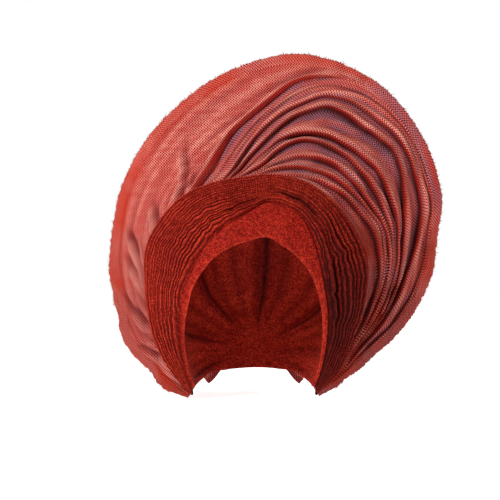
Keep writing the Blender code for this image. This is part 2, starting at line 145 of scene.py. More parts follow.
# Folds of the fan from the pleated band outward: the valley's share of the fan's
# height and the fold's strength, at turns round the face
FOLDS = (
    ((-57, .16, 0), (-45, .17, .5), (-29, .18, .8), (-12, .20, 1), (-1, .22, 1), (8, .25, 1),
     (20, .24, 1), (30, .22, 1), (37, .18, 1), (44, .15, .9), (52, .12, .8), (62, .08, .5),
     (75, .03, .3), (88, 0, 0)),
    ((-57, .24, 0), (0, .31, 0), (20, .33, 0), (30, .31, 0), (38, .27, .5), (47, .23, .7),
     (55, .20, .8), (65, .15, .8), (74, .11, .7), (81, .07, .6), (92, 0, 0)),
    ((-57, .27, 0), (-45, .28, .5), (-30, .29, .8), (-19, .31, 1), (-5, .35, 1), (7, .40, 1),
     (14, .41, 1), (23, .40, 1), (29, .38, 1), (35, .34, 1), (41, .31, 1), (50, .30, 1),
     (60, .29, 1), (66, .26, .8), (74, .21, .4), (84, .11, .1), (95, 0, 0)),
    ((-57, .34, 0), (-20, .40, 0), (0, .44, 0), (20, .46, .1), (30, .43, .6), (38, .43, .9),
     (47, .43, 1), (55, .43, 1), (62, .41, 1), (70, .39, 1), (76, .34, 1), (82, .23, 1),
     (87, .12, .8), (96, .04, .5), (101, 0, 0)),
    ((-57, .38, 0), (-40, .40, .4), (-24, .44, .8), (-13, .51, 1), (0, .52, 1), (13, .56, 1),
     (24, .54, 1), (36, .55, 1), (45, .56, 1), (52, .53, 1), (60, .50, 1), (68, .47, 1),
     (76, .41, 1), (81, .35, .8), (86, .25, .4), (94, .11, .1), (102, 0, 0)),
    ((-57, .48, 0), (-40, .50, .5), (-16, .55, .9), (-2, .59, 1), (12, .60, 1), (22, .62, 1),
     (29, .65, 1), (34, .70, 1), (40, .76, 1), (46, .79, 1), (52, .75, 1), (58, .72, 1),
     (68, .72, 1), (74, .63, 1), (80, .51, 1), (86, .36, 1), (92, .22, 1), (97, .10, .8),
     (104, 0, 0)),
    ((-57, .58, 0), (-40, .60, .6), (-24, .62, .9), (-10, .67, 1), (3, .71, 1), (11, .75, 1),
     (20, .83, 1), (32, .86, 1), (45, .89, .9), (55, .85, .7), (64, .83, .7), (70, .79, .7),
     (77, .67, .6), (83, .55, .6), (89, .42, .6), (95, .25, .6), (101, .09, .5), (107, 0, 0)),
    ((-57, .84, 0), (-45, .85, .4), (-32, .87, .7), (-19, .91, .9), (-9, .93, .9),
     (-2, .96, .6), (10, .97, .2), (30, .97, 0), (60, .96, 0), (74, .84, 0), (85, .62, 0),
     (96, .39, 0), (107, .12, 0), (114, 0, 0)),
)

# The line that parts those folds from the fan's left side: share, turn
PARTING = ((0, 118), (.12, 112), (.23, 107), (.42, 100), (.52, 96), (.60, 91.5),
           (.68, 86.5), (.76, 82.5), (.83, 79.5), (.89, 76), (.95, 70), (1.0, 64))

# Soft creases of the left side: turns at the band, a third, two thirds and the rim,
# the shares between which it shows, then width and depth in metres
CREASES = (
    (122, 114, 108, 100, .00, .40, .0030, .0020),
    (128, 118, 114, 108, .00, .80, .0046, .0028),
    (137, 128, 124, 118, .00, .35, .0030, .0018),
    (144, 138, 135, 131, .00, .55, .0050, .0042),
    (152, 143, 139, 135, .00, .45, .0034, .0020),
    (165, 154, 149, 146, .00, .50, .0034, .0022),
    (173, 160, 154, 150, .00, .95, .0046, .0048),
    (180, 170, 164, 158, .10, .90, .0050, .0034),
    (188, 181, 175, 168, .00, .60, .0036, .0026),
    (198, 192, 186, 178, .10, 1.10, .0050, .0042),
    (206, 201, 196, 190, .00, .70, .0040, .0026),
    (215, 211, 207, 202, .00, 1.10, .0050, .0034),
)


def limit(value):
    return np.clip(value, 0.0, 1.0)


def bell(value):
    return np.exp(-value ** 2)


def smooth(value):
    """Step from 0 to 1, level before and after."""
    value = limit(value)
    return value * value * (3.0 - 2.0 * value)


def curve(table, at):
    """A table's columns at any places, on smooth curves through its rows."""
    rows = np.array(table, float)
    at = np.asarray(at, float)
    places, values = rows[:, 0], rows[:, 1:]
    last = len(places) - 1
    low = np.clip(np.searchsorted(places, at) - 1, 0, last - 1)
    before = np.maximum(low - 1, 0)
    after = np.minimum(low + 2, last)
    span = (places[low + 1] - places[low])[..., None]
    u = (at - places[low])[..., None] / span
    run_in = (places[low + 1] - places[before])[..., None]
    run_out = (places[after] - places[low])[..., None]
    slope_in = (values[low + 1] - values[before]) / run_in * span
    slope_out = (values[after] - values[low]) / run_out * span
    value = (2 * u ** 3 - 3 * u ** 2 + 1) * values[low]
    value += (u ** 3 - 2 * u ** 2 + u) * slope_in
    value += (3 * u ** 2 - 2 * u ** 3) * values[low + 1]
    value += (u ** 3 - u ** 2) * slope_out
    return np.moveaxis(value, -1, 0)


def line(table, at):
    """As curve, and level beyond the table's ends."""
    return curve(table, np.clip(at, table[0][0], table[-1][0]))


def ripple(at, seed, waves=6):
    """Smooth irregular wave along at, between about -1 and 1."""
    draw = np.random.default_rng(seed)
    total = 0.0
    for _ in range(waves):
        size = draw.uniform(0.3, 1.0)
        total = total + size * np.sin(draw.uniform(0.5, 2.5) * at + draw.uniform(0, 6.3))
    return total / (0.45 * waves)


def wrinkle(along, across, seed, long=0.045, short=0.011, waves=14):
    """Irregular shallow wrinkles, long along the folds and short across them."""
    draw = np.random.default_rng(seed)
    total = 0.0
    for _ in range(waves):
        run = 2 * math.pi * draw.uniform(0.5, 1.5) / long
        over = 2 * math.pi * draw.uniform(0.5, 1.5) / short * draw.choice((-1.0, 1.0))
        total = total + np.sin(run * along + over * across + draw.uniform(0, 6.3))
    return total / math.sqrt(waves / 2)


def neck_section(drop, layer):
    """Half width, half depth and setback of the head form, at a drop below its widest."""
    share = (drop / NECK_DROP) ** 2
    half_width = HEAD_WIDTH / 2 + layer + (NECK_WIDTH - HEAD_WIDTH) / 2 * share
    half_depth = HEAD_DEPTH / 2 + layer + (NECK_DEPTH - HEAD_DEPTH) / 2 * share
    return half_width, half_depth, NECK_SETBACK * share


def on_head(around, level, layer):
    """Points on the head form: around is 0 at the face, level 0 at the top and 1 at the widest."""
    around, level, layer = np.broadcast_arrays(around, level, layer)
    side = np.sin(np.radians(around))
    front = np.cos(np.radians(around))
    drop = np.maximum(level - 1.0, 0.0) * NECK_DROP
    half_width, half_depth, setback = neck_section(drop, layer)
    rise = np.radians(90.0 * (1.0 - np.minimum(level, 1.0)))
    side = side * np.cos(rise)
    front = front * np.cos(rise)
    up = np.sin(rise)
    reach = np.abs(side / half_width) ** HEAD_POWER + np.abs(front / half_depth) ** HEAD_POWER
    reach = (reach + np.abs(up / (CROWN_HEIGHT + layer)) ** HEAD_POWER) ** (-1.0 / HEAD_POWER)
    return np.stack([reach * side, setback - reach * front, reach * up - CROWN_HEIGHT - drop], -1)


def head_front(x, z, layer):
    """Depth y of the head form's front at x, z above the widest level."""
    half_width, half_depth, setback = neck_section(np.maximum(-z, 0.0), layer)
    rest = 1.0 - np.abs(x / half_width) ** HEAD_POWER
    rest = rest - np.abs(np.maximum(z, 0.0) / (CROWN_HEIGHT + layer)) ** HEAD_POWER
    return setback - half_depth * np.maximum(rest, 0.0) ** (1.0 / HEAD_POWER)


def head_side(turn, layer):
    """Radius and depth of the head form's widest line, seen from the front."""
    across = np.abs(np.cos(np.radians(turn)))
    up = np.sin(np.radians(turn))
    above = (across / (HEAD_WIDTH / 2 + layer)) ** HEAD_POWER
    above = (above + np.abs(up / (CROWN_HEIGHT + layer)) ** HEAD_POWER) ** (-1.0 / HEAD_POWER)
    below = np.full_like(above, HEAD_WIDTH / 2)
    for _ in range(12):
        half_width = neck_section(np.maximum(-up * below, 0.0), layer)[0]
        below = 0.5 * (below + half_width / np.maximum(across, 0.2))
    depth = neck_section(np.maximum(-up * below, 0.0), layer)[2]
    return np.where(up >= 0.0, above, below), depth


def polar(turn, radius, depth):
    angle = np.radians(turn)
    up = radius * np.sin(angle) - CROWN_HEIGHT
    return np.stack([radius * np.cos(angle), depth + 0.0 * angle, up], -1)


def bowed(reach, back, share, bow):
    length = np.hypot(reach, back)
    out = 4.0 * share * (1.0 - share) * bow
    return share * reach + out * back / length, share * back - out * reach / length


def column(count):
    """Shares from 0 to 1, one to a row."""
    return np.linspace(0.0, 1.0, count)[:, None]


def round_face(count):
    return np.linspace(RIGHT_GATHER, LEFT_GATHER, count)


def unit(vectors):
    return vectors / np.linalg.norm(vectors, axis=-1, keepdims=True)


def lifted(surface, turn, share, lift):
    """Points of a surface, lifted square to its front."""
    outward = surface(turn, share + 0.01) - surface(turn, share - 0.01)
    around = surface(turn + 0.5, share) - surface(turn - 0.5, share)
    square = unit(np.cross(outward, around))
    return surface(turn, share) + np.asarray(lift)[..., None] * square


def band_surface(turn, share):
    edge, _, band, _, band_back, _ = curve(SECTIONS, turn)
    inner = edge * OPENING_RADIUS
    angle = np.radians(turn)
    start = head_front(inner * np.cos(angle), inner * np.sin(angle), EDGE_LAYER)
    radius, depth = bowed(band * BAND_WIDTH, band_back * BAND_SETBACK, share, BAND_BULGE * band)
    return polar(turn, inner + radius, start + depth)


def band_point(turn, share, lift=0.0):
    return lifted(band_surface, turn, share, lift)


def fan_surface(turn, share):
    fan, band_back, fan_back = curve(SECTIONS, turn)[3:]
    radius, depth = bowed(fan * FAN_REACH, fan_back * FAN_SETBACK, share, -FAN_DISH * fan)
    angle = np.radians(turn)
    step = np.stack([radius * np.cos(angle), depth, radius * np.sin(angle)], -1)
    return band_point(turn, np.ones_like(turn), -LAYER_STEP) + step


def fan_point(turn, share, lift=0.0):
    return lifted(fan_surface, turn, share, lift)


def fan_reach(turn):
    return curve(SECTIONS, turn)[3] * FAN_REACH


def border_share(turn):
    reach = fan_reach(turn)
    return 1.0 - BORDER_WIDTH / (reach + BORDER_WIDTH)


def place_fan(turn, share, lift):
    return fan_point(turn, share * (border_share(turn) - GAP / fan_reach(turn)), lift)


def brow_share(turn):
    values = curve(SECTIONS, turn)
    return values[1] / values[2]


def lengths(points):
    """Distance run along each row of points."""
    steps = np.linalg.norm(np.diff(points, axis=-2), axis=-1)
    return np.concatenate([np.zeros_like(steps[..., :1]), np.cumsum(steps, axis=-1)], axis=-1)


def linear(code):
    """Scene colour of a display colour written as six hex digits."""
    parts = [int(code[place:place + 2], 16) / 255 for place in (0, 2, 4)]
    scene = [p / 12.92 if p <= 0.04045 else ((p + 0.055) / 1.055) ** 2.4 for p in parts]
    return (*scene, 1.0)


class Nodes:
    """Short calls for building one material's nodes."""

    def __init__(self, name):
        self.material = bpy.data.materials.new(name)
        self.material.use_nodes = True
        self.tree = self.material.node_tree
        self.shader = self.tree.nodes["Principled BSDF"]

    def node(self, kind, inputs=(), **settings):
        made = self.tree.nodes.new(kind)
        for key, value in settings.items():
            setattr(made, key, value)
        for socket, value in dict(inputs).items():
            self.put(made.inputs[socket], value)
        return made

    def put(self, socket, value):
        if isinstance(value, bpy.types.NodeSocket):
            self.tree.links.new(value, socket)
        else:
            socket.default_value = value

    def feed(self, name, value):
        self.put(self.shader.inputs[name], value)

    def math(self, operation, first, second=0.0):
        return self.node("ShaderNodeMath", {0: first, 1: second}, operation=operation).outputs[0]

    def times(self, first, second):
        return self.math("MULTIPLY", first, second)

    def blend(self, share, first, second):
        made = self.node("ShaderNodeMix", {0: share, 6: first, 7: second}, data_type="RGBA")
        return made.outputs[2]

    def stretch(self, value, low, high, to_low=0.0, to_high=1.0):
        made = self.node("ShaderNodeMapRange", {0: value, 1: low, 2: high, 3: to_low, 4: to_high})
        return made.outputs[0]

    def scaled(self, where, factors):
        made = self.node("ShaderNodeVectorMath", {0: where, 1: factors}, operation="MULTIPLY")
        return made.outputs[0]

    def noise(self, where, scale, detail=3.0):
        inputs = {"Vector": where, "Scale": scale, "Detail": detail, "Roughness": 0.55}
        return self.node("ShaderNodeTexNoise", inputs).outputs["Fac"]

    def attribute(self, name, socket="Fac"):
        return self.node("ShaderNodeAttribute", attribute_name=name).outputs[socket]


def cloth_material(name, colours, pitch=0.0021, contrast=1.0, grain=0.3):
    """Cloth woven of dark ground threads and bright floats in a staggered pattern of the
    given pitch. The mesh's fold colours say where crests, walls and hollows are, and its
    painted shade mark where hardly any light gets in, also on the sides in shade. The
    crests' colours are a painted highlight; the hollows' colours, the near black of that mark
    and the darker weave of the walls are painted shade, as is the walls' colour in the glitter
    cloth's grooves. colours: ground and floats of the dimmer parts, of the crests, of the
    hollows and of the red rim, then the walls."""
    n = Nodes(name)
    codes = [linear(code) for code in colours]
    ground, floats, highlight_ground, highlight_floats, shade_ground, shade_floats = codes[:6]
    rim_ground, rim_floats, steep = codes[6:]
    place = n.node("ShaderNodeUVMap", uv_map="weave").outputs[0]
    solid = n.node("ShaderNodeTexCoord").outputs["Object"]
    parts = n.node("ShaderNodeSeparateXYZ", {0: place})
    bend = n.times(n.math("SUBTRACT", n.noise(solid, 30.0, 1.0), 0.5), 0.0020)
    waves = []
    for direction in (0, 1):
        shifted = n.math("ADD", parts.outputs[direction], bend)
        waves.append(n.math("SINE", n.times(shifted, 2 * math.pi / pitch)))
    ribs = n.stretch(waves[0], -0.7, 0.7)
    dots = n.stretch(n.times(waves[0], waves[1]), -0.12, 0.14)
    tones = n.node("ShaderNodeSeparateColor", {0: n.attribute("fold", "Color")})
    crest, wall, deep = tones.outputs[0], tones.outputs[1], tones.outputs[2]
    # Painted shade mark: dark in creases, grooves and gaps and on the sides in shade
    pit = n.attribute("pit")
    patch = n.noise(solid, 18.0, 4.0)
    streak = n.noise(n.scaled(place, (55.0, 260.0, 1.0)), 1.0, 3.0)
    both = n.math("ADD", n.times(patch, 0.5), n.times(streak, 0.5))
    lit = n.stretch(both, 0.38, 0.62)
    # Specks of grain in the weave, partly painted glints of the glittering threads
    cells = n.node("ShaderNodeTexVoronoi", {"Vector": solid, "Scale": 800.0})
    cell = n.node("ShaderNodeSeparateColor", {0: cells.outputs["Color"]}).outputs[0]
    weave = n.math("ADD", n.times(ribs, 0.18), n.times(dots, 0.82))
    weave = n.times(weave, contrast)
    weave = n.math("ADD", weave, n.times(n.math("SUBTRACT", cell, 0.5), grain))
    # The walls darken the weave, painted shade
    weave = n.math("SUBTRACT", weave, n.times(wall, 0.3))
    weave = n.node("ShaderNodeClamp", {0: weave}).outputs[0]
    # Painted highlight on the crests, broken into patches by noise, and painted shade in the
    # hollows
    lit = n.times(n.math("SUBTRACT", lit, 0.35), 0.8)
    high = n.math("ADD", n.times(crest, 0.85), lit)
    high = n.node("ShaderNodeClamp", {0: high}).outputs[0]
    low = n.times(deep, n.stretch(streak, 0.3, 0.6, 0.5, 1.0))
    under = n.blend(low, n.blend(high, ground, highlight_ground), shade_ground)
    over = n.blend(low, n.blend(high, floats, highlight_floats), shade_floats)
    rim = n.times(n.attribute("rim"), n.stretch(patch, 0.36, 0.58))
    colour = n.blend(weave, n.blend(rim, under, rim_ground), n.blend(rim, over, rim_floats))
    # The walls' colour, painted shade in the glitter cloth's grooves
    steepness = n.times(wall, n.stretch(streak, 0.35, 0.65, 0.25, 0.85))
    colour = n.blend(steepness, colour, steep)
    # Painted shade: near black where that mark is high
    colour = n.blend(n.times(pit, 0.92), colour, linear("1E0404"))
    n.feed("Base Color", colour)
    n.feed("Roughness", n.stretch(patch, 0.3, 0.7, 0.55, 0.75))
    height = n.math("ADD", weave, n.times(cell, grain))
    bump = n.node("ShaderNodeBump", {"Strength": 0.5, "Distance": 0.0005, "Height": height})
    n.feed("Normal", bump.outputs[0])
    n.feed("Sheen Weight", 0.05)
    n.feed("Sheen Roughness", 0.4)
    n.feed("Sheen Tint", linear("F08070"))
    n.feed("Specular IOR Level", 0.06)
    return n.material


def add_object(name, data):
    made = bpy.data.objects.new(name, data)
    bpy.context.scene.collection.objects.link(made)
    return made


def face_corners(values):
    return np.stack([values[:-1, :-1], values[1:, :-1], values[1:, 1:], values[:-1, 1:]], -1)


def set_weave(mesh, u, v):
    layer = mesh.uv_layers["weave"]
    layer.data.foreach_set("uv", np.stack([u, v], -1).astype(np.float32).ravel())


def grid_mesh(name, points, along, across, folds, cloth, **marks):
    """Object from rows of points. along is given for each row of faces, across for each
    point; folds has each point's crest, wall and hollow, for painted highlight and shade,
    and marks the painted shade of creases and the rim."""
    rows, columns = points.shape[:2]
    corners = face_corners(np.arange(rows * columns).reshape(rows, columns))
    along = np.broadcast_to(along, (rows - 1, columns))
    across = np.broadcast_to(across, (rows, columns))
    mesh = bpy.data.meshes.new(name)
    mesh.from_pydata(points.reshape(-1, 3).tolist(), [], corners.reshape(-1, 4).tolist())
    mesh.uv_layers.new(name="weave")
    u = np.stack([along[:, :-1], along[:, :-1], along[:, 1:], along[:, 1:]], -1)
    set_weave(mesh, u, face_corners(across))
    tones = np.zeros((rows, columns, 4))
    if folds is not None:
        tones[..., :3] = folds
    tones[..., 3] = 1.0
    attribute = mesh.color_attributes.new("fold", "FLOAT_COLOR", "POINT")
    attribute.data.foreach_set("color", tones.astype(np.float32).ravel())
    for mark, values in marks.items():
        attribute = mesh.attributes.new(mark, "FLOAT", "POINT")
        values = np.broadcast_to(values, (rows, columns))
        attribute.data.foreach_set("value", values.astype(np.float32).ravel())
    mesh.shade_smooth()
    mesh.materials.append(cloth)
    return add_object(name, mesh)


def thicken(piece, thickness=CLOTH, outward=False):
    shell = piece.modifiers.new("cloth", "SOLIDIFY")
    shell.thickness = thickness
    shell.offset = 1.0 if outward else -1.0
    return piece


def dress(piece, node):
    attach(piece, "root")
    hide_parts(node)


# Fan: the long folds over the top and down the right side. The spacing is the least
# share between two valleys, and the weft step moves the weave on from fold to fold
FOLD_ROWS = 16
FOLD_HEIGHT = 0.0085
WALL_WIDTH = 0.0024
OVERHANG = 0.0012
SPACING = 0.0025
WEFT_STEP = 0.012
FOLDS_TURN = 66.0
FOLDS_END = 116.5
RIM_PARTING = PARTING[-1][1]
SEAT_PLEAT = 0.0016
SEAT_THICKNESS = 0.0008
WEAVE_TILT = math.radians(6.0)

# How red the cloth turns beside the border: turn, share
RIM_RED = ((-57, 1), (-30, .9), (-5, .5), (12, .9), (26, .5), (32, .1), (60, .1),
           (75, .6), (100, .9), (237, 1))
# The share where that red starts on the left side: turn, share
RED_START = ((64, .90), (100, .88), (140, .84), (160, .78), (190, .74), (237, .6))
# How red the folds are on the right: turn, share
RIGHT_RED = ((-57, 1), (-20, .9), (0, .75), (25, .45), (45, .2), (65, 0))
# Turn and lift of places on the fan's outer edge. The two halves of the fan add theirs
# as they are built, and the border follows them.
EDGE_SPOTS = []


def right_shade(turns):
    """How far the cloth lies in the shade toward the right gather."""
    return smooth((45.0 - turns) / 75.0)


def left_shade(turns):
    return smooth((turns - 130.0) / 60.0)


def fold_size(strength, spacing):
    return 0.5 * strength * FOLD_HEIGHT * spacing / (spacing + 0.5 * FOLD_HEIGHT)


def parting_turn(share):
    return line(PARTING, share)[0]


def parting_share(turn):
    shares = np.linspace(0.0, 1.0, 400)
    return np.interp(turn, parting_turn(shares)[::-1], shares[::-1])


def fold_valleys(turns):
    """Valley shares and strengths of all folds, with the band's edge and the outer limit."""
    outer = parting_share(turns)
    shares = [np.zeros_like(turns)]
    strengths = [np.full_like(turns, 0.4)]
    for number, table in enumerate(FOLDS):
        share, strength = line(table, turns)
        share = share + 0.005 * ripple(turns / 7.0, number)
        shares.append(share + 0.003 * ripple(turns / 2.5, 20 + number))
        uneven = 1.0 + 0.20 * ripple(turns / 6.0, 50 + number)
        uneven = uneven + 0.12 * ripple(turns / 2.2, 70 + number)
        strengths.append(np.clip(strength, 0.0, 1.2) * uneven)
    shares.append(outer)
    strengths.append(0.9 * smooth((turns - RIM_PARTING) / 12.0))
    for place in range(1, len(shares)):
        shares[place] = np.maximum(shares[place], shares[place - 1] + SPACING)
    shares[-1] = np.maximum(outer, SPACING * len(shares))
    for place in range(len(shares) - 2, 0, -1):
        shares[place] = np.minimum(shares[place], shares[place + 1] - SPACING)
    return np.array(shares), np.array(strengths)


def build_fan_folds(cloth):
    """The long folds. Each is a steep wall up from its valley and a long fall to the next."""
    right = np.linspace(RIGHT_GATHER, FOLDS_TURN, 240, endpoint=False)
    turns = np.concatenate([right, np.linspace(FOLDS_TURN, FOLDS_END, 96)])
    valleys, strengths = fold_valleys(turns)
    reach = fan_reach(turns)
    ease = smooth((turns - RIGHT_GATHER) / 16.0)
    shares, lifts, tones, pits, rims, run, wide, order, weft = [], [], [], [], [], [], [], [], []
    last = len(valleys) - 2
    for place in range(last + 1):
        gap = valleys[place + 1] - valleys[place]
        spacing = gap * reach
        wall = np.clip(WALL_WIDTH / spacing, 0.06, 0.30)
        height = fold_size(strengths[place], spacing) * ease
        following = min(place + 1, last)
        after = (valleys[following + 1] - valleys[following]) * reach
        fall = fold_size(strengths[place + 1], after) * ease
        near = smooth(valleys[place] / 0.05)
        for row in range(FOLD_ROWS + (place == last)):
            step = row / FOLD_ROWS
            steep = wall * step / 0.1875
            flat = 2 * wall + (1 - 2 * wall) * (step - 0.375) / 0.625
            part = steep if step <= 0.375 else flat
            up = part / wall
            down = limit((part - wall) / (1.0 - wall))
            rise = -height * near + height * (1.0 + near) * smooth(up)
            drop = (height + fall) * 0.5 * (1.0 - np.cos(np.pi * down ** 0.7))
            lifts.append(np.where(up < 1.0, rise, height - drop))
            shift = OVERHANG * strengths[place] * bell((up - 1.1) / 0.7) * near
            share = valleys[place] + part * gap
            shares.append(share - shift / reach * smooth(spacing / 0.006))
            strong = limit(strengths[place]) * ease * smooth(spacing / 0.008)
            # Painted highlight along each crest, painted shade up the wall from the valley and in
            # the hollow before the next one
            crest = strong * bell((up - 1.9) / 1.0)
            side = strong * (1.0 - smooth((up - 0.5) / 0.6)) * near
            deep = limit(strengths[place + 1]) * ease
            deep = deep * smooth((down - 0.35) / 0.5) * smooth(spacing / 0.006)
            inner_red = smooth((0.36 - share) / 0.2) * smooth((66.0 - turns) / 40.0)
            tones.append(np.stack([crest, side, deep * (1.0 - inner_red)], -1))
            # Painted shade in the valleys, toward the right gather and on the red near the band
            shut = bell(up / 0.55) * near
            shut = shut + bell((1.0 - down) / 0.20) * (up > 1.0)
            dim = 0.45 * right_shade(turns) + 0.25 * inner_red
            pits.append(limit(shut * strong + dim))
            edge_red = smooth((share - 0.88) / 0.10) * line(RIM_RED, turns)[0]
            red = 0.9 * strong * bell((up - 0.8) / 0.6)
            red = red + line(RIGHT_RED, turns)[0] + inner_red
            rims.append(limit(red + edge_red))
            wide.append(share * reach)
            order.append(place + part)
            weft.append((part - 0.4) * spacing + place * WEFT_STEP)
        middle = place_fan(turns, valleys[place] + 0.4 * gap, 0.0)
        run += [lengths(middle)] * FOLD_ROWS
    shares, lifts, wide = np.array(shares), np.array(lifts), np.array(wide)
    along = np.radians(turns) * 0.16
    small = wrinkle(along, np.array(order) * 0.014, 900, 0.06, 0.009)
    small = small * ease * smooth(wide / 0.01)
    lifts = lifts + 0.0007 * small
    tones = np.array(tones)
    # Painted highlight on the wrinkles' tops, painted shade in their hollows
    tones[..., 0] = limit(tones[..., 0] + 0.30 * np.maximum(small, 0.0))
    tones[..., 2] = limit(tones[..., 2] + 0.35 * np.maximum(-small, 0.0))
    points = place_fan(turns, shares, lifts)
    EDGE_SPOTS.extend(spot for spot in zip(turns, lifts[-1]) if spot[0] < RIM_PARTING)
    piece = grid_mesh("fan_folds", points, np.array(run), np.array(weft), tones, cloth,
                      pit=np.array(pits), rim=np.array(rims))
    return thicken(piece)


def build_fan_left(cloth):
    """The fan's flatter left side, with its soft creases and the channel along the parting."""
    rows = column(130)
    steps = np.linspace(0.0, 1.0, 340)[None, :]
    steps = 0.35 * steps ** 2 + 0.65 * steps
    start = parting_turn(rows)
    turns = start - 1.2 + (LEFT_GATHER + 1.2 - start) * steps
    shares = np.broadcast_to(rows, turns.shape)
    reach = fan_reach(turns)
    from_middle = fan_surface(turns, shares) + [0, 0, CROWN_HEIGHT]
    radius = np.linalg.norm(from_middle[..., [0, 2]], axis=-1)
    lift = np.zeros_like(turns)
    crest = np.zeros_like(turns)
    deep = np.zeros_like(turns)
    for ring, third, second, rim, first, last, width, depth in CREASES:
        path = ((0, ring), (1 / 3, third), (2 / 3, second), (1, rim))
        centre = line(path, shares)[0]
        centre = centre + 0.8 * ripple(9.0 * shares, round(ring))
        shown = smooth((shares - first) / 0.12) * smooth((last - shares) / 0.3)
        shown = shown * (1.0 - 0.3 * smooth((shares - 0.55) / 0.45)) * depth
        aside = np.radians(turns - centre) * radius / width
        lift -= shown * np.exp(-np.abs(aside) ** 1.6)
        lift += 0.9 * shown * bell((aside - 1.9) / 1.1)
        # Painted highlight beside each crease, painted shade in it
        crest += shown * bell((aside - 1.7) / 0.8) / 0.0035
        deep += shown * np.exp(-np.abs(aside / 0.7) ** 1.6) / 0.0040
    inner = np.radians(turns - start) * radius
    strong = 0.9 * smooth((start - RIM_PARTING) / 12.0)
    out = smooth(shares / 0.08)
    channel = 0.011 - 0.004 * shares
    bank = (-1.0 + 2.0 * smooth(inner / channel)) * bell(inner / 0.03)
    lift += 0.5 * strong * FOLD_HEIGHT * out * bank
    lift -= 0.0008 * limit(-inner / 0.002)
    # Painted shade on the channel's inner side and painted highlight on its bank
    wall = strong * (1.0 - smooth((inner - 0.6 * channel) / (0.4 * channel))) * out
    crest += 1.2 * strong * bell((inner - 1.25 * channel) / 0.003)
    small = wrinkle(shares * reach, np.radians(turns) * radius, 901, 0.12, 0.035)
    small = small * smooth(shares / 0.1)
    lift += 0.0006 * small
    # Painted highlight on the wrinkles' tops, painted shade in their hollows
    crest += 0.30 * np.maximum(small, 0.0)
    deep += 0.20 * np.maximum(-small, 0.0)
    points = place_fan(turns, shares, lift)
    EDGE_SPOTS.extend(zip(turns[-1], lift[-1]))
    # The painted highlight fades toward the left gather
    crest = limit(crest) * (1.0 - 0.6 * smooth((turns - 135.0) / 50.0))
    tones = np.stack([crest, limit(wall + 0.6 * deep), limit(0.3 * deep)], -1)
    rims = smooth((shares - line(RED_START, turns)[0]) / 0.16) * line(RIM_RED, turns)[0]
    bank_red = 0.9 * strong * bell((inner / channel - 0.7) / 0.4)
    rims = limit(rims + bank_red)
    # Painted shade in the channel along the parting, in the creases and toward the left gather
    pits = 0.75 * strong * out * bell((inner / channel - 0.15) / 0.22)
    pits = pits + 0.35 * limit(deep)
    pits = limit(pits + 0.25 * left_shade(turns))
    across, up = points[..., 0], points[..., 2]
    piece = grid_mesh("fan_left", points, across[:-1], up, tones, cloth, rim=rims, pit=pits)
    corners, heights = face_corners(across), face_corners(up)
    u = math.cos(WEAVE_TILT) * corners + math.sin(WEAVE_TILT) * heights
    v = math.cos(WEAVE_TILT) * heights - math.sin(WEAVE_TILT) * corners
    set_weave(piece.data, u, v)
    return thicken(piece)


def build_fan_seat(cloth):
    """Turn of cloth behind the fan that seats it on the crown, gathered in small pleats."""
    turns = round_face(560)
    part = column(28)
    ring = fan_point(turns, np.zeros_like(turns), -CLOTH)
    seat_turn = 90.0 + (turns - 90.0) * SEAT_SPAN
    seat = polar(seat_turn, *head_side(seat_turn, CLOTH + 2.0 * GAP))
    span = ring - seat
    out = unit(np.cross(span, np.gradient(ring, axis=0)))
    pleat = np.sin(turns * 0.95 + 5.0 * ripple(turns / 16.0, 41))
    pleat = pleat + 0.6 * ripple(turns * 0.6, 42)
    ends = smooth(np.minimum(turns - RIGHT_GATHER, LEFT_GATHER - turns) / 25.0)
    height = SEAT_PLEAT * pleat * ends * np.sin(math.pi * part) ** 0.7
    points = seat + span * part[..., None] + (height[..., None] * out)
    # Painted highlight on the pleats, painted shade in the dips between them
    dip = limit(0.5 - 0.5 * pleat) * ends
    tones = np.stack([0.25 * (1.0 - dip), 0.5 * dip, 0.6 * dip], -1)
    run = lengths(ring)
    far = np.linalg.norm(span, axis=-1) * part
    return thicken(grid_mesh("fan_seat", points, run, far, tones, cloth), SEAT_THICKNESS)


# Pleated band. Its inner edge is tucked under the brow cloth
PLEATS = 18
PLEAT_ROWS = 6
PLEAT_HEIGHT = 0.0046
TUCK_SHARE = 0.35
TUCK_RISE = 0.005
# Gaps that open between pleats: pleat, first and last turn, half width in metres
PLEAT_GAPS = ((6, 50, 80, .0022), (10, 18, 52, .0012), (5, 84, 112, .0010),
              (12, 0, 40, .0011), (4, -20, 30, .0012))
GAP_DEPTH = 0.004


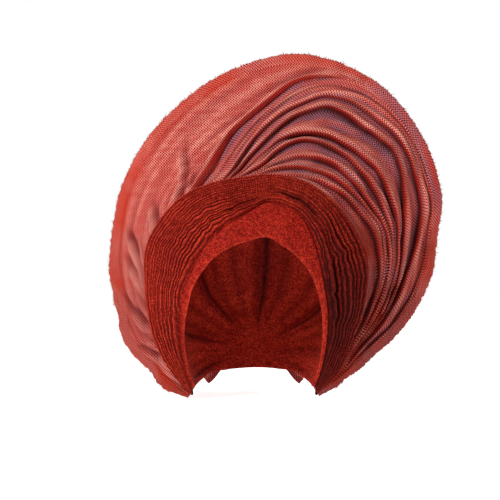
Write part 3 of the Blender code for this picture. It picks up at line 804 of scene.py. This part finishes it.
def build_band(cloth):
    """The ring of pleats, every other one thin toward its ends."""
    turns = round_face(376)
    width = curve(SECTIONS, turns)[2] * BAND_WIDTH
    inner = brow_share(turns)
    draw = np.random.default_rng(7)
    weights = []
    for pleat in range(PLEATS):
        even = 1.0 + 0.35 * ripple(turns / 24.0, 100 + pleat)
        even = even + 0.20 * ripple(turns / 7.0, 130 + pleat)
        even = even + 0.16 * ripple(turns / 2.6, 160 + pleat)
        thin = 0.25 if pleat % 2 == 1 else 1.45
        merged = smooth((110.0 - turns) / 90.0)
        merged = merged + 0.9 * smooth((turns - 150.0) / 60.0)
        weight = np.clip(even * (1.0 + (thin - 1.0) * merged), 0.12, None)
        weights.append(weight * draw.uniform(0.8, 1.25))
    edges = np.concatenate([np.zeros((1, len(turns))), np.cumsum(weights, axis=0)])
    edges /= edges[-1]
    ends = np.minimum(turns - RIGHT_GATHER, LEFT_GATHER - turns)
    shares = [inner * (1.0 - TUCK_SHARE)]
    lifts = [np.full_like(turns, -2.0 * LAYER_STEP)]
    tones = [np.zeros((len(turns), 3))]
    pits = [np.ones_like(turns)]
    right = smooth((110.0 - turns) / 60.0)
    for pleat in range(PLEATS):
        part = edges[pleat + 1] - edges[pleat]
        spacing = part * (1.0 - inner) * width
        height = PLEAT_HEIGHT * spacing / (spacing + 0.3 * PLEAT_HEIGHT)
        height = height * smooth(0.25 + ends / 20.0)
        # Painted shade over the band's right side, most on its inner pleats
        shaded = 0.95 * smooth((75.0 - turns) / 80.0) * (1.0 - 0.7 * pleat / PLEATS)
        for row in range(PLEAT_ROWS + (pleat == PLEATS - 1)):
            step = row / PLEAT_ROWS
            share = inner + (1.0 - inner) * (edges[pleat] + part * step)
            clear = smooth(((share - inner) * width - 0.5 * CLOTH) / TUCK_RISE)
            form = np.sin(np.pi * step ** 0.75) ** 0.7
            shares.append(share)
            lifts.append(-2.0 * LAYER_STEP * (1.0 - clear) + height * clear * form)
            edge = min(step, 1.0 - step)
            # Painted highlight on the pleats' tops, painted shade in the grooves between them
            groove = bell(edge / (0.19 + 0.03 * right))
            crest = 0.7 * form * clear * (1.0 - shaded)
            tones.append(np.stack([crest, groove * clear, shaded], -1))
            pit = bell(edge / (0.12 + 0.02 * right)) * (0.5 + 0.5 * clear)
            pits.append((0.8 + 0.2 * right) * pit + 0.4 * shaded)
    shares, lifts = np.array(shares), np.array(lifts)
    pits = limit(np.array(pits))
    # The gaps are sunk, and filled with painted shade
    for pleat, first, last, half in PLEAT_GAPS:
        middle = inner + (1.0 - inner) * edges[pleat]
        taper = smooth((turns - first) / 7.0) * smooth((last - turns) / 7.0)
        inside = taper * np.exp(-np.abs((shares - middle) * width / half) ** 3)
        lifts = lifts - GAP_DEPTH * inside
        pits = np.maximum(pits, inside)
    points = band_point(turns, shares, lifts)
    run = lengths(points[len(points) // 2])
    piece = grid_mesh("pleats", points, run, shares * width, np.array(tones), cloth, pit=pits)
    return thicken(piece)


def build_brow_wrap(name, over, cloth):
    """Smooth cloth over the brow, the right one over the left."""
    turns = round_face(300)
    turns = turns[turns <= RIGHT_WRAP_END] if over else turns[turns >= LEFT_WRAP_END]
    outer = brow_share(turns)
    if over:
        inner = 0.85 * outer * smooth((turns - APEX_TURN) / (RIGHT_WRAP_END - APEX_TURN))
        level = -LAYER_STEP * smooth((LEFT_WRAP_END - 8.0 - turns) / 20.0)
    else:
        inner = 0.80 * outer * smooth((APEX_TURN - turns) / (APEX_TURN - LEFT_WRAP_END))
        level = np.full_like(turns, -LAYER_STEP)
    part = column(25)
    width = curve(SECTIONS, turns)[2] * BAND_WIDTH
    shares = inner + (outer - inner) * part
    distance = (shares - inner) * width
    soft = 0.0006 * ripple(turns / 10.0 + 8.0 * part, 300 + over)
    soft = soft * smooth(part / 0.3) * smooth((1 - part) / 0.2)
    lift = level + soft * 0.5
    points = band_point(turns, shares, lift)
    run = lengths(points[12])
    # Painted highlight along the inner edge
    edge = bell(distance / 0.002)
    tones = np.stack([0.6 * edge, 0.0 * edge, 0.0 * edge], -1)
    return thicken(grid_mesh(name, points, run, distance, tones, cloth))


# The border's tone along the rim: turn, then shares of the pale tone, a painted highlight,
# and of the dusky tone, painted shade
BORDER_TONES = ((-57, .1, .3), (-20, .1, .2), (0, .2, .2), (24, .2, .2), (29, .2, .9),
                (36, .2, .9), (41, .2, .6), (58, .3, .6), (66, .9, .3), (80, .9, .2),
                (90, .3, .1), (140, .3, 0), (237, .1, .1))
BORDER_OVERLAP = 0.0012
BORDER_THICKNESS = 0.0012


def fan_edge_lift(turns):
    """Lift of the fan's outer edge, for the border that continues it."""
    spots = sorted(EDGE_SPOTS)
    return np.interp(turns, [turn for turn, _ in spots], [lift for _, lift in spots])


def frayed_edge(turns, part):
    """Share and lift on the border, part 0 at the fan and 1 at its free edge."""
    whole = fan_reach(turns) + BORDER_WIDTH
    start = border_share(turns) - BORDER_OVERLAP / whole
    uneven = 0.0006 * ripple(turns * 1.7, 400) * smooth((part - 0.6) / 0.4)
    share = start + (1.0 - start) * part + uneven / whole
    lift = fan_edge_lift(turns) - 0.0002 + 0.0006 * smooth(part / 0.2)
    return share, lift + 0.0008 * ripple(turns / 5.0, 401) * part


def build_border(cloth):
    turns = round_face(900)
    part = column(13)
    shares, lift = frayed_edge(turns, part)
    points = fan_point(turns, shares, lift)
    run = lengths(points[6])
    rim_highlight, rim_shade = line(BORDER_TONES, turns)
    tones = np.stack([rim_highlight, 0.0 * rim_highlight, rim_shade], -1)
    red = line(RIM_RED, turns)[0]
    red = red + (0.8 - red) * smooth(part / 0.7)
    wide = (shares - shares[:1]) * FAN_REACH
    # Painted shade toward both gathers
    shade = 0.5 * right_shade(turns) + 0.30 * left_shade(turns)
    piece = grid_mesh("selvedge", points, run, wide, tones, cloth, rim=red, pit=shade)
    return thicken(piece, BORDER_THICKNESS)


def head_edge():
    """around and level along the crown's edge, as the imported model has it."""
    turns = round_face(140)
    radius = curve(SECTIONS, turns)[0] * OPENING_RADIUS + CROWN_INSET
    x, z = radius * np.cos(np.radians(turns)), radius * np.sin(np.radians(turns))
    y = head_front(x, z, 0.0)
    setback = neck_section(np.maximum(-z, 0.0), 0.0)[2]
    high_around = np.degrees(np.arctan2(x, -y))
    low_around = np.degrees(np.arctan2(x, setback - y))
    around = np.where(z >= 0, high_around, low_around)
    high_level = 1.0 - np.degrees(np.arctan2(z, np.hypot(x, y))) / 90.0
    level = np.where(z >= 0, high_level, 1.0 - z / NECK_DROP)
    part = np.linspace(0.0, 1.0, 180)[1:]
    nape = around[-1] - (360.0 - around[0] + around[-1]) * part
    side = level[-1] + (level[0] - level[-1]) * part
    low = smooth(1.0 - np.abs(2.0 * part - 1.0))
    nape_level = side + (1.0 + NAPE_DROP / NECK_DROP - side) * low
    return np.concatenate([around, nape]), np.concatenate([level, nape_level])


# Gathered folds of the crown, which fan out from the knot
CROWN_GATHERS = 9.0
HIGH_FOLD = 0.0035


def fold_room(around):
    return CROWN_FOLD * smooth((np.abs(around) - FOLD_START) / FOLD_SPREAD)


def build_crown(cloth):
    around, level = head_edge()
    around = (around + 180.0) % 360.0 - 180.0
    part = column(110)
    levels = level * part
    aside = (np.abs(around) - 180.0) * np.sign(around) / 90.0
    above = KNOT_LEVEL - levels
    spread = smooth((np.hypot(aside, above) - 0.15) / 0.35) * smooth(levels / 0.5)
    bearing = np.arctan2(above, aside + 0 * above)
    phase = CROWN_GATHERS * bearing + 0.9 * ripple(2.2 * bearing, 43)
    big = np.abs(np.cos(0.5 * phase)) ** 0.6
    fine = np.abs(np.cos(1.5 * phase + 1.0)) ** 0.8
    room = fold_room(around) / CROWN_FOLD * spread
    tall = CROWN_FOLD + HIGH_FOLD * smooth((1.5 - levels) / 0.4)
    height = room * tall * (0.75 * big + 0.25 * fine)
    points = on_head(around, levels, height)
    run = lengths(points[70])
    # Painted highlight on the gathers' tops, painted shade in the hollows between them
    hollow = limit(1.6 * (0.55 - big)) * room
    tones = np.stack([0.7 * big * room, 0.6 * (1.0 - fine) * room, hollow], -1)
    pits = limit(1.0 - 3.0 * big) * room
    far = levels * 0.14
    piece = grid_mesh("crown", points[::-1], run, far[::-1], tones[::-1], cloth, pit=pits[::-1])
    return thicken(piece, outward=True)


def build_tie(name, side, cloth):
    last = 180.0 - math.degrees(GAP / HEAD_DEPTH)
    part = column(160)
    corner = np.linspace(0.0, 2 * math.pi, 61)[None, :]
    around = TIE_START + (last - TIE_START) * part
    level = TIE_LEVEL + (KNOT_LEVEL - TIE_LEVEL) * smooth(part)
    base = CLOTH + GAP + fold_room(around) + 0.5 * TIE_THICKNESS
    half = 0.5 * TIE_HEIGHT * (0.6 + 0.4 * np.sin(math.pi * part))
    twist = 0.5 * ripple(part * 3.0, 500 + side)
    front = smooth(0.5 + 0.9 * np.cos(corner))
    pleat = np.cos(18.0 * np.sin(corner) + twist)
    groove = 1.0 - 0.30 * (0.5 - 0.5 * pleat) * front
    up = half * np.sin(corner) / NECK_DROP
    layer = base + 0.5 * TIE_THICKNESS * np.cos(corner) * groove
    points = on_head(side * around, level - up, layer)
    tones = np.zeros((*layer.shape, 3))
    # Painted highlight on the front of the pleats, painted shade in their grooves
    tones[..., 0] = 0.6 * (0.5 + 0.5 * pleat) * front
    tones[..., 1] = 0.9 * (0.5 - 0.5 * pleat) * front
    if side < 0:
        points, tones = points[:, ::-1], tones[:, ::-1]
    run = lengths(points[:, 0])
    return grid_mesh(name, points, run[:-1, None], corner * 0.006, tones, cloth)


def build_knot(cloth):
    """Loop of pleated cloth drawn tight over the crossing ends, a lobe on each side of it."""
    base = BACK_LAYER + TIE_THICKNESS + GAP
    centre = on_head(180.0, KNOT_LEVEL, base) + np.array([0.0, 0.28 * KNOT_DEPTH, 0.0])
    across = np.sin(np.linspace(-0.5, 0.5, 121) * math.pi)[None, :]
    wrap = np.linspace(-math.pi, math.pi, 121)[:, None]
    rounded = np.maximum(1.0 - np.abs(across) ** 2.6, 0.0) ** (1 / 2.2)
    pleat = np.cos(across * 15.0 + 0.5 * np.sin(2.0 * wrap))
    lobe = np.cos(7.0 * wrap + 2.0 * across)
    middle = 1.0 / (1.0 + np.exp((np.abs(across) - 0.46) / 0.03))
    size = 0.74 + 0.20 * middle - 0.10 * bell((np.abs(across) - 0.52) / 0.05)
    size = size + 0.045 * pleat * middle + 0.03 * lobe * (1.0 - middle)
    face = np.cos(wrap)
    depth = np.where(face > 0.0, 0.72, 0.26) * KNOT_DEPTH
    x = across * 0.5 * KNOT_WIDTH + 0.0 * wrap
    z = np.sin(wrap) * 0.5 * KNOT_HEIGHT * size * rounded
    points = centre + np.stack([x, face * depth * size * rounded, z], -1)
    # Painted highlight on the pleats and lobes, painted shade in their grooves and where the loop
    # meets the lobes
    groove = np.where(middle > 0.5, 0.5 - 0.5 * pleat, 0.5 - 0.5 * lobe)
    tones = np.stack([0.7 * (1.0 - groove), 0.6 * groove, 0.3 * groove], -1)
    pits = bell((np.abs(across) - 0.51) / 0.03)
    run = (wrap * 0.016)[:-1]
    far = across * 0.02
    return grid_mesh("knot_loop", points[:, ::-1], run, far, tones, cloth, pit=pits)


def build_knot_end(name, side, cloth):
    """Short end of cloth from the knot, side -1 left and 1 right."""
    layer = BACK_LAYER + TIE_THICKNESS + GAP
    start = math.degrees(END_START * KNOT_WIDTH / HEAD_DEPTH)
    reach = math.degrees(2.0 * END_LENGTH / HEAD_DEPTH)
    part = column(70)
    strip = np.linspace(0.0, 1.0, 61)[None, :]
    around = 180.0 - start - reach * part
    width = END_WIDTH * (0.35 + 0.65 * smooth(part))
    level = KNOT_LEVEL + END_FALL * part / NECK_DROP + (strip - 0.5) * width / NECK_DROP
    pleat = 0.5 - 0.5 * np.cos(2 * math.pi * 3.0 * strip + 0.5 * np.sin(5 * part))
    lift = 0.0022 * pleat + END_LIFT * part
    points = on_head(side * around + 0 * level, level, layer + lift)
    # Painted highlight on the pleats, painted shade between them
    tones = np.stack([0.3 * pleat, 0.6 * (1 - pleat), 0.4 * (1 - pleat)], -1)
    run = lengths(points[:, 30])
    if side < 0:
        points, tones = points[:, ::-1], tones[:, ::-1]
    piece = grid_mesh(name, points, run[:-1, None], strip * 0.035, tones, cloth)
    return thicken(piece, outward=True)


# Loose threads of the border: how many, and the turns kept clear at each gather
THREADS = 3500
THREAD_FREE = 8.0


def build_fringe(cloth):
    """Loose threads along the frayed edge of the border, each a tapered prism."""
    draw = np.random.default_rng(31)
    first, last = RIGHT_GATHER + THREAD_FREE, LEFT_GATHER - THREAD_FREE
    turns = np.sort(draw.uniform(first, last, THREADS))
    share, lift = frayed_edge(turns, np.ones(THREADS))
    lift = lift - draw.uniform(0.0002, 0.0010, THREADS)
    root = fan_point(turns, share - 0.004, lift)
    out = unit(fan_point(turns, share + 0.06, lift) - root)
    around = unit(fan_point(turns + 0.5, share - 0.004, lift) - root)
    reach = draw.uniform(0.0007, 0.0020, THREADS)
    reach = reach + 0.0020 * (draw.uniform(0, 1, THREADS) > 0.96)
    lean = draw.normal(0.0, 0.6, THREADS)
    curl = draw.normal(0.0, 0.5, THREADS)
    front = draw.normal(0.0, 0.25, THREADS)
    radius = draw.uniform(0.00018, 0.00036, THREADS)
    points, faces = [], []
    square = np.cross(out, around)
    for thread in range(THREADS):
        first = len(points)
        for step in range(4):
            far = step / 3
            bend = lean[thread] * far + curl[thread] * far ** 2
            offset = out[thread] * far + around[thread] * bend
            offset = offset + square[thread] * front[thread] * far
            centre = root[thread] + offset * reach[thread]
            size = radius[thread] * (1.0 - 0.5 * far)
            wide, high = around[thread] * size, square[thread] * size
            points += [centre + wide, centre + high, centre - wide]
        for step in range(3):
            for corner in range(3):
                low, top = first + 3 * step, first + 3 * step + 3
                other = (corner + 1) % 3
                faces.append((low + corner, low + other, top + other, top + corner))
        faces.append((first + 2, first + 1, first))
        faces.append((first + 9, first + 10, first + 11))
    mesh = bpy.data.meshes.new("fringe")
    mesh.from_pydata([tuple(p) for p in points], [], faces)
    mesh.materials.append(cloth)
    mesh.uv_layers.new(name="weave")
    rim = mesh.attributes.new("rim", "FLOAT", "POINT")
    rim.data.foreach_set("value", np.ones(len(points), np.float32))
    return add_object("fringe", mesh)


# Colours three and four are the crests' painted highlight, five and six the hollows' painted
# shade, and the last the walls' colour, painted shade on the glitter cloth
glitter = cloth_material(
    "glitter cloth",
    ("5A0603", "BC2A1A", "780C05", "EA4A30", "280201", "600A05", "780C05", "EA4A30", "440502"),
    pitch=0.0020, contrast=0.7, grain=0.9)
shot = cloth_material(
    "shot cloth",
    ("46050A", "E8665A", "781610", "FFA896", "1C0512", "A87284", "72100A", "D8442E", "AC140F"),
    pitch=0.0029, contrast=1.0, grain=0.15)

dress(build_crown(glitter), "crown_wrap")
dress(build_brow_wrap("brow_left", False, glitter), "brow_wrap_left")
dress(build_brow_wrap("brow_right", True, glitter), "brow_wrap_right")
dress(build_band(glitter), "pleated_band")
dress(build_fan_folds(shot), "fan")
dress(build_fan_left(shot), "fan")
dress(build_fan_seat(shot), "fan")
dress(build_border(shot), "rim_border")
fringe = build_fringe(shot)
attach(fringe, "root")
dress(build_tie("tie_left", -1, glitter), "tie_band_left")
dress(build_tie("tie_right", 1, glitter), "tie_band_right")
dress(build_knot(glitter), "knot")
dress(build_knot_end("tail_left", -1, shot), "knot_end_left")
dress(build_knot_end("tail_right", 1, shot), "knot_end_right")

# Stage, lights and camera
FLOOR_RADII = (0.6, 2.0, 9.0)
FLOOR_SIDES = 48
LIGHT_TARGET = (0.0, 0.0, -0.04)
# name, place, diameter, power
LIGHTS = (
    ("key", (-0.85, -1.08, 0.80), 0.40, 20.0),
    ("fill", (0.3, -1.7, 0.6), 1.0, 2.0),
    ("back", (0.3, 1.6, 1.2), 1.0, 18.0),
)
WORLD_LIGHT = 0.15
CAMERA_PLACE = (-0.0042, -1.335, -0.0452)
VIEW_DISTANCE = 1.250
VIEW_WIDTH = 0.470
SENSOR_WIDTH = 36.0


def matte(name, code, rough):
    n = Nodes(name)
    grain = n.noise(n.node("ShaderNodeTexCoord").outputs["Object"], 3.0)
    colour = n.blend(n.times(grain, 0.05), linear(code), linear("E0E0E0"))
    n.feed("Base Color", colour)
    n.feed("Roughness", rough)
    n.feed("Emission Color", linear("FFFFFF"))
    n.feed("Emission Strength", 0.88)
    return n.material


def build_stage():
    floor_level = cad_box[0][2] - 0.001
    radii = np.array(FLOOR_RADII)[:, None]
    angles = np.linspace(0.0, 2 * math.pi, FLOOR_SIDES + 1)[None, :]
    level = floor_level + 0 * radii * angles
    points = np.stack([radii * np.cos(angles), radii * np.sin(angles), level], -1)
    floor = grid_mesh("floor", points, 0.0, 0.0, None, matte("floor paint", "F4F2F0", 0.7))
    centre = bpy.data.meshes.new("floor_middle")
    centre.from_pydata([tuple(p) for p in points[0, :-1]], [], [tuple(range(FLOOR_SIDES))])
    centre.materials.append(floor.data.materials[0])
    add_object("floor_middle", centre)


def build_light():
    """Lamps, and a world that the camera sees white but that lights dimly."""
    for name, place, size, power in LIGHTS:
        data = bpy.data.lights.new(name, "AREA")
        data.shape = "DISK"
        data.size = size
        data.energy = power
        lamp = add_object(name, data)
        lamp.location = place
        aim = Vector(LIGHT_TARGET) - Vector(place)
        lamp.rotation_euler = aim.to_track_quat("-Z", "Y").to_euler()
    world = bpy.data.worlds.new("studio")
    bpy.context.scene.world = world
    world.use_nodes = True
    tree = world.node_tree
    background = tree.nodes["Background"]
    path = tree.nodes.new("ShaderNodeLightPath")
    shade = tree.nodes.new("ShaderNodeMapRange")
    shade.inputs[3].default_value = WORLD_LIGHT
    shade.inputs[4].default_value = 1.0
    tree.links.new(path.outputs["Is Camera Ray"], shade.inputs[0])
    tree.links.new(shade.outputs[0], background.inputs["Strength"])
    background.inputs["Color"].default_value = (1.0, 1.0, 1.0, 1.0)


def build_camera():
    data = bpy.data.cameras.new("camera")
    data.sensor_width = SENSOR_WIDTH
    data.sensor_fit = "HORIZONTAL"
    data.lens = SENSOR_WIDTH * VIEW_DISTANCE / VIEW_WIDTH
    camera = add_object("camera", data)
    camera.location = CAMERA_PLACE
    camera.rotation_euler = (math.radians(90.0), 0.0, 0.0)
    bpy.context.scene.camera = camera


build_stage()
build_light()
build_camera()
bpy.context.scene.view_settings.view_transform = "Standard"
